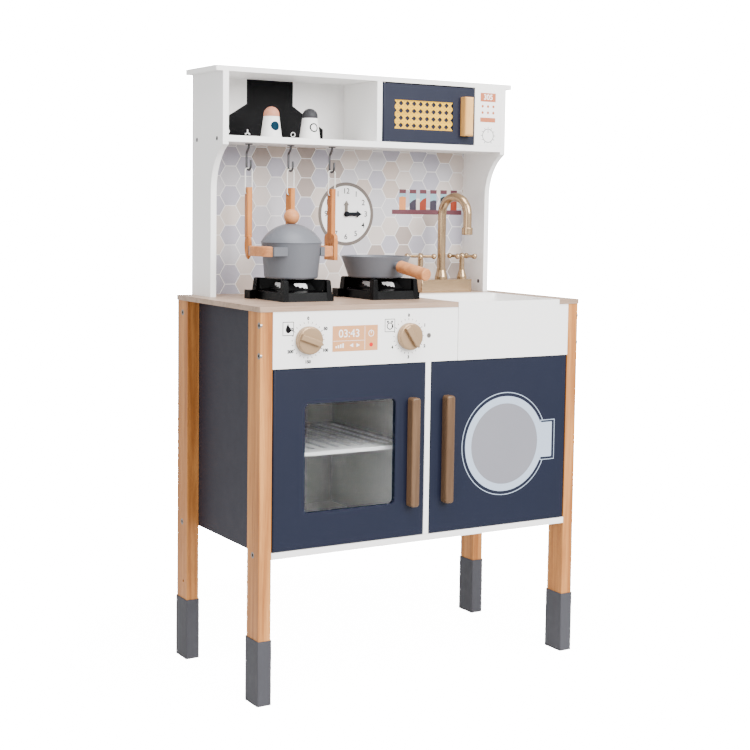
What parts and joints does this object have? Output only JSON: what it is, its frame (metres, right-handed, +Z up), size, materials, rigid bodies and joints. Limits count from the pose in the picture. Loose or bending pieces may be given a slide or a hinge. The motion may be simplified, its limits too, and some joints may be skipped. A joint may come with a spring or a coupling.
{
  "type": "toy kitchen",
  "caption": "Child's play kitchen on tall legs with two cupboards, sink, hob, tap, utensil rail hooks and a shelf unit with microwave.",
  "frame": {"origin": "on the floor under the middle of the bounding box", "axes": "+Z up, +X to the right of someone facing the front, -Y towards that person"},
  "size_m": [0.6, 0.3264, 0.975],
  "materials": {
    "navy_paint": "satin painted board",
    "white_paint": "satin painted board",
    "pine": "clear varnished softwood",
    "worktop_veneer": "matt pale oak print",
    "tile_print": "printed board",
    "grey_plastic": "matt moulded",
    "champagne": "metallic satin",
    "bronze_paint": "metallic painted wood",
    "hob_black": "moulded",
    "pan_grey": "satin",
    "clear_pane": "clear sheet",
    "beech": "smooth oiled",
    "light_wood": "smooth oiled",
    "cane": "woven cane",
    "steel": "bright zinc plated",
    "cord_white": "plaited cotton",
    "hand_black": "matt",
    "shaker_peach": "painted wood",
    "shaker_grey": "painted wood"
  },
  "bodies": {
    "cabinet": {"backsplash": "tile_print", "bottom_board": "white_paint", "burner_left": "hob_black", "burner_right": "hob_black", "centre_divider": "white_paint", "clock_pin": "hand_black", "control_panel": "white_paint", "control_strip": "white_paint", "cubby_divider": "white_paint", "door_pins": "steel", "hooks": "steel", "hutch_screws": "steel", "hutch_shelf": "white_paint", "hutch_side_left": "white_paint", "hutch_side_right": "white_paint", "hutch_top": "white_paint", "leg_back_left": "pine", "leg_back_right": "pine", "leg_bolts": "steel", "leg_caps": "grey_plastic", "leg_front_left": "pine", "leg_front_right": "pine", "lower_back": "white_paint", "microwave_fascia": "white_paint", "oven_shelf": "white_paint", "panel_fixing": "steel", "side_panel_left": "navy_paint", "side_panel_right": "navy_paint", "sink": "white_paint", "tap_block": "champagne", "worktop": "worktop_veneer"},
    "oven_door": {"oven_door": "navy_paint", "oven_window": "clear_pane", "oven_handle": "bronze_paint"},
    "washer_door": {"washer_door": "navy_paint", "washer_handle": "bronze_paint"},
    "microwave_door": {"microwave_door": "navy_paint", "cane_panel": "cane", "microwave_handle": "light_wood"},
    "knob_left": {"knob_left": "champagne"},
    "knob_right": {"knob_right": "champagne"},
    "spout": {"spout": "champagne"},
    "tap_left": {"tap_left": "champagne"},
    "tap_right": {"tap_right": "champagne"},
    "hour_hand": {"hour_hand": "hand_black"},
    "minute_hand": {"minute_hand": "hand_black"},
    "pot": {"pot": "pan_grey", "pot_grips": "light_wood"},
    "lid": {"lid": "pan_grey", "lid_knob": "light_wood"},
    "pan": {"pan": "pan_grey", "pan_grip": "light_wood"},
    "spoon": {"spoon": "beech", "spoon_cord": "cord_white"},
    "fork_spatula": {"fork_spatula": "beech", "fork_spatula_cord": "cord_white"},
    "turner": {"turner": "beech", "turner_cord": "cord_white"},
    "shaker_left": {"shaker_left": "shaker_peach"},
    "shaker_right": {"shaker_right": "shaker_grey"}
  },
  "joints": [
    {"name": "oven_door_hinge", "type": "hinge", "parent": "cabinet", "child": "oven_door", "pos_m": [-0.2713, -0.14175, 0.373], "axis": [0, 0, -1], "range_deg": [0, 95]},
    {"name": "washer_door_hinge", "type": "hinge", "parent": "cabinet", "child": "washer_door", "pos_m": [0.2713, -0.14175, 0.373], "axis": [0, 0, 1], "range_deg": [0, 95]},
    {"name": "microwave_door_hinge", "type": "hinge", "parent": "cabinet", "child": "microwave_door", "pos_m": [0.0252, 0.04575, 0.916], "axis": [0, 0, -1], "range_deg": [0, 95]},
    {"name": "knob_left_turn", "type": "hinge", "parent": "cabinet", "child": "knob_left", "pos_m": [-0.2185, -0.14675, 0.554], "axis": [0, -1, 0], "continuous": true},
    {"name": "knob_right_turn", "type": "hinge", "parent": "cabinet", "child": "knob_right", "pos_m": [-0.0395, -0.14675, 0.554], "axis": [0, -1, 0], "continuous": true},
    {"name": "spout_swivel", "type": "hinge", "parent": "cabinet", "child": "spout", "pos_m": [0.1855, 0.10525, 0.64], "axis": [0, 0, 1], "range_deg": [-70, 70]},
    {"name": "tap_left_turn", "type": "hinge", "parent": "cabinet", "child": "tap_left", "pos_m": [0.141, 0.10525, 0.64], "axis": [0, 0, 1], "range_deg": [0, 90]},
    {"name": "tap_right_turn", "type": "hinge", "parent": "cabinet", "child": "tap_right", "pos_m": [0.23, 0.10525, 0.64], "axis": [0, 0, -1], "range_deg": [0, 90]},
    {"name": "hour_hand_turn", "type": "hinge", "parent": "cabinet", "child": "hour_hand", "pos_m": [0.0161, 0.15405, 0.7425], "axis": [0, 1, 0], "continuous": true},
    {"name": "minute_hand_turn", "type": "hinge", "parent": "cabinet", "child": "minute_hand", "pos_m": [0.0161, 0.15185, 0.7425], "axis": [0, 1, 0], "continuous": true},
    {"name": "pot_lift", "type": "slide", "parent": "cabinet", "child": "pot", "axis": [0, 0, 1], "range_m": [0, 0.06]},
    {"name": "lid_lift", "type": "slide", "parent": "pot", "child": "lid", "axis": [0, 0, 1], "range_m": [0, 0.04]},
    {"name": "pan_lift", "type": "slide", "parent": "cabinet", "child": "pan", "axis": [0, 0, 1], "range_m": [0, 0.06]},
    {"name": "shaker_left_lift", "type": "slide", "parent": "cabinet", "child": "shaker_left", "axis": [0, 0, 1], "range_m": [0, 0.04]},
    {"name": "shaker_right_lift", "type": "slide", "parent": "cabinet", "child": "shaker_right", "axis": [0, 0, 1], "range_m": [0, 0.04]},
    {"name": "spoon_swing", "type": "hinge", "parent": "cabinet", "child": "spoon", "pos_m": [-0.2057, 0.08825, 0.8148], "axis": [0, 1, 0], "range_deg": [-10, 10]},
    {"name": "fork_spatula_swing", "type": "hinge", "parent": "cabinet", "child": "fork_spatula", "pos_m": [-0.1288, 0.08825, 0.8148], "axis": [0, 1, 0], "range_deg": [-10, 10]},
    {"name": "turner_swing", "type": "hinge", "parent": "cabinet", "child": "turner", "pos_m": [-0.0505, 0.08825, 0.8148], "axis": [0, 1, 0], "range_deg": [-10, 10]}
  ]
}
